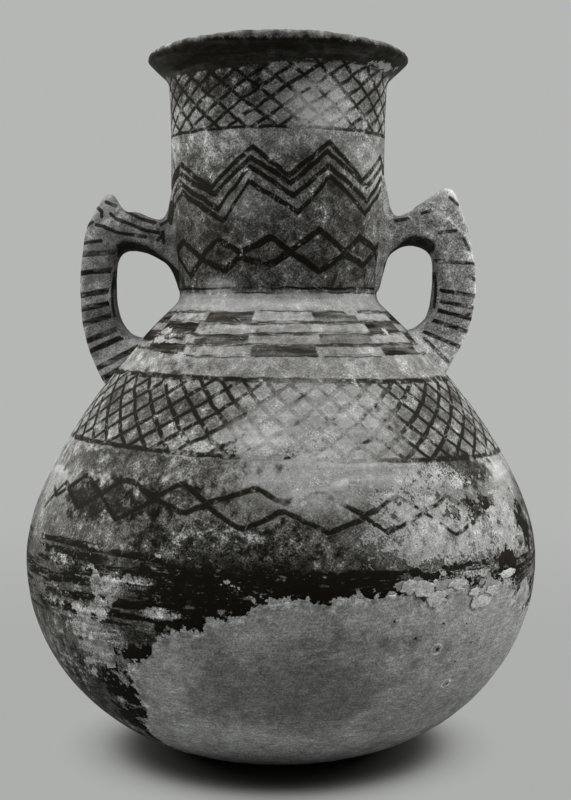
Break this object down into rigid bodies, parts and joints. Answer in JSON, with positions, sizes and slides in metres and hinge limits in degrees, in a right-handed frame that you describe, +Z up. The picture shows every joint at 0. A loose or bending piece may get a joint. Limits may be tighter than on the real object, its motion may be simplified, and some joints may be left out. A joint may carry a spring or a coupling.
{
  "type": "two-handled pottery jar",
  "caption": "Round-bellied hand-built pottery jar with a tall flared neck, horned loop handles, painted bands and a plaster repair, for storing and pouring.",
  "frame": {"origin": "middle of the flat face that the jar stands on", "axes": "+Z up along the jar's axis, the painted and repaired front faces -Y, the handles stand out along -X and +X"},
  "size_m": [0.311, 0.311, 0.4243],
  "materials": {
    "painted_clay": "matte",
    "rim_paint": "satin",
    "handle_clay": "matte",
    "plaster": "matte"
  },
  "bodies": {
    "root": {"base_disc": "painted_clay", "belly_wall": "painted_clay", "shoulder_wall": "painted_clay", "neck_wall": "painted_clay", "rim_lip": "rim_paint", "plaster_fill": "plaster", "left_handle": "handle_clay", "right_handle": "handle_clay", "left_horn": "handle_clay", "right_horn": "handle_clay", "left_arm_lute": "handle_clay", "right_arm_lute": "handle_clay", "left_foot_lute": "handle_clay", "right_foot_lute": "handle_clay"}
  },
  "joints": []
}
